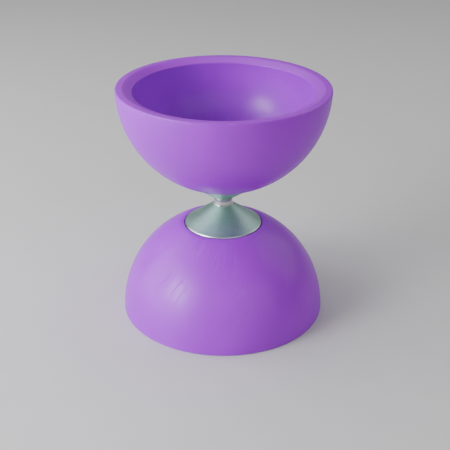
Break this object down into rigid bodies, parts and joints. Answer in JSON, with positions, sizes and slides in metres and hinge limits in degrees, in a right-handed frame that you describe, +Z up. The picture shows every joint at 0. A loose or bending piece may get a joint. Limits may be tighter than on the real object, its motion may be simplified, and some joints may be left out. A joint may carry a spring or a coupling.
{
  "type": "diabolo",
  "caption": "Two bowl-shaped rubber cups back to back on a fixed steel axle, with metal cones at the waist that guide a string.",
  "frame": {"origin": "centre of the lower cup's rim, on the surface that the diabolo stands on", "axes": "+Z up the axle, from the lower cup to the upper one; the shape is round about +Z, so +X and +Y are any two directions across it (+X and +Y pass through a corner and a flat of the six-sided nuts)"},
  "size_m": [0.115, 0.115, 0.1322],
  "materials": {
    "cup_rubber": "satin moulded rubber, purple",
    "satin_steel": "fine-grained satin steel with faint turning rings",
    "polished_steel": "polished by the string",
    "zinc_steel": "bright zinc plate",
    "nylon": "natural nylon"
  },
  "bodies": {
    "root": {"axle": "polished_steel", "upper_cone": "satin_steel", "upper_cup": "cup_rubber", "upper_backing_plate": "zinc_steel", "upper_washer": "zinc_steel", "upper_lock_nut": "zinc_steel", "upper_nylon_ring": "nylon", "lower_cone": "satin_steel", "lower_cup": "cup_rubber", "lower_backing_plate": "zinc_steel", "lower_washer": "zinc_steel", "lower_lock_nut": "zinc_steel", "lower_nylon_ring": "nylon"}
  },
  "joints": []
}
